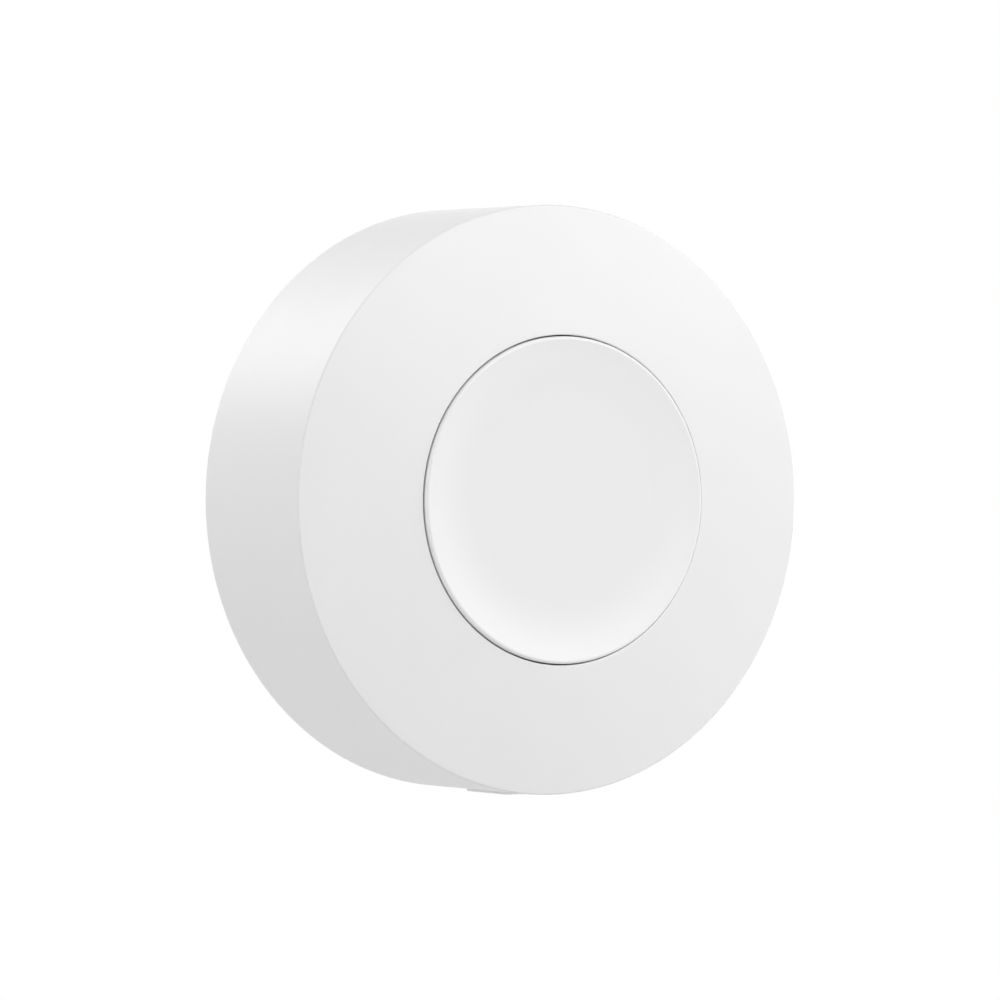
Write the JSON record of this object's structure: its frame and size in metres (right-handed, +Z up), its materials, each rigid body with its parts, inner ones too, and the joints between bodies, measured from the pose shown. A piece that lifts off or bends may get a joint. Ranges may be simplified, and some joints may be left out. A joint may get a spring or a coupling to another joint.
{
  "type": "smart button",
  "caption": "Round wall-mounted wireless push button: crowned housing, dished centre button on a sprung switch, coin cell inside, twist-off stick-on base.",
  "frame": {"origin": "centre of the adhesive pad's rear face, on the wall", "axes": "+Y into the wall, so the button faces -Y; +Z up, with the low rib at the bottom; +X to the right as seen from the front"},
  "size_m": [0.05, 0.0183, 0.0502],
  "materials": {
    "white_plastic": "satin, fine spark texture",
    "button_plastic": "satin, fine spark texture",
    "base_plastic": "matte",
    "foam_tape": "matte foam",
    "board_laminate": "solder mask",
    "plated_steel": "zinc plated",
    "black_plastic": "moulded",
    "tinned_metal": "tinned",
    "spring_steel": "bright rolled sheet",
    "chip_resin": "moulded resin",
    "gold_trace": "gold flash",
    "ceramic_brown": "fired ceramic",
    "clear_resin": "clear resin",
    "contact_metal": "nickel over bronze",
    "cell_steel": "nickel plated",
    "cell_seal": "moulded",
    "cell_powder": "pressed powder"
  },
  "bodies": {
    "base": {"back_cover": "base_plastic", "adhesive_pad": "foam_tape"},
    "housing": {"front_shell": "white_plastic", "circuit_board": "board_laminate", "board_screws": "plated_steel", "switch_base": "black_plastic", "switch_terminals": "tinned_metal", "switch_dome": "spring_steel", "switch_cover": "spring_steel", "radio_chip": "chip_resin", "crystal": "spring_steel", "antenna": "gold_trace", "capacitors": "ceramic_brown", "status_led": "clear_resin", "battery_holder": "black_plastic", "positive_contacts": "contact_metal", "negative_contact": "contact_metal", "cell_can": "cell_steel", "cell_gasket": "cell_seal", "cell_cap": "cell_steel", "cell_filling": "cell_powder"},
    "button": {"button_cap": "button_plastic"},
    "plunger": {"switch_plunger": "black_plastic"}
  },
  "joints": [
    {"name": "housing_twist", "type": "hinge", "parent": "base", "child": "housing", "pos_m": [0, 0, 0], "axis": [0, -1, 0], "range_deg": [0, 26]},
    {"name": "button_press", "type": "slide", "parent": "housing", "child": "button", "axis": [0, 1, 0], "range_m": [0, 0.00035], "stiffness_N_per_m": 5000},
    {"name": "plunger_press", "type": "slide", "parent": "housing", "child": "plunger", "axis": [0, 1, 0], "range_m": [0, 0.00035], "deforming": ["switch_dome"]}
  ],
  "couplings": [
    {"joint": "plunger_press", "follows": "button_press", "ratio": 1}
  ]
}
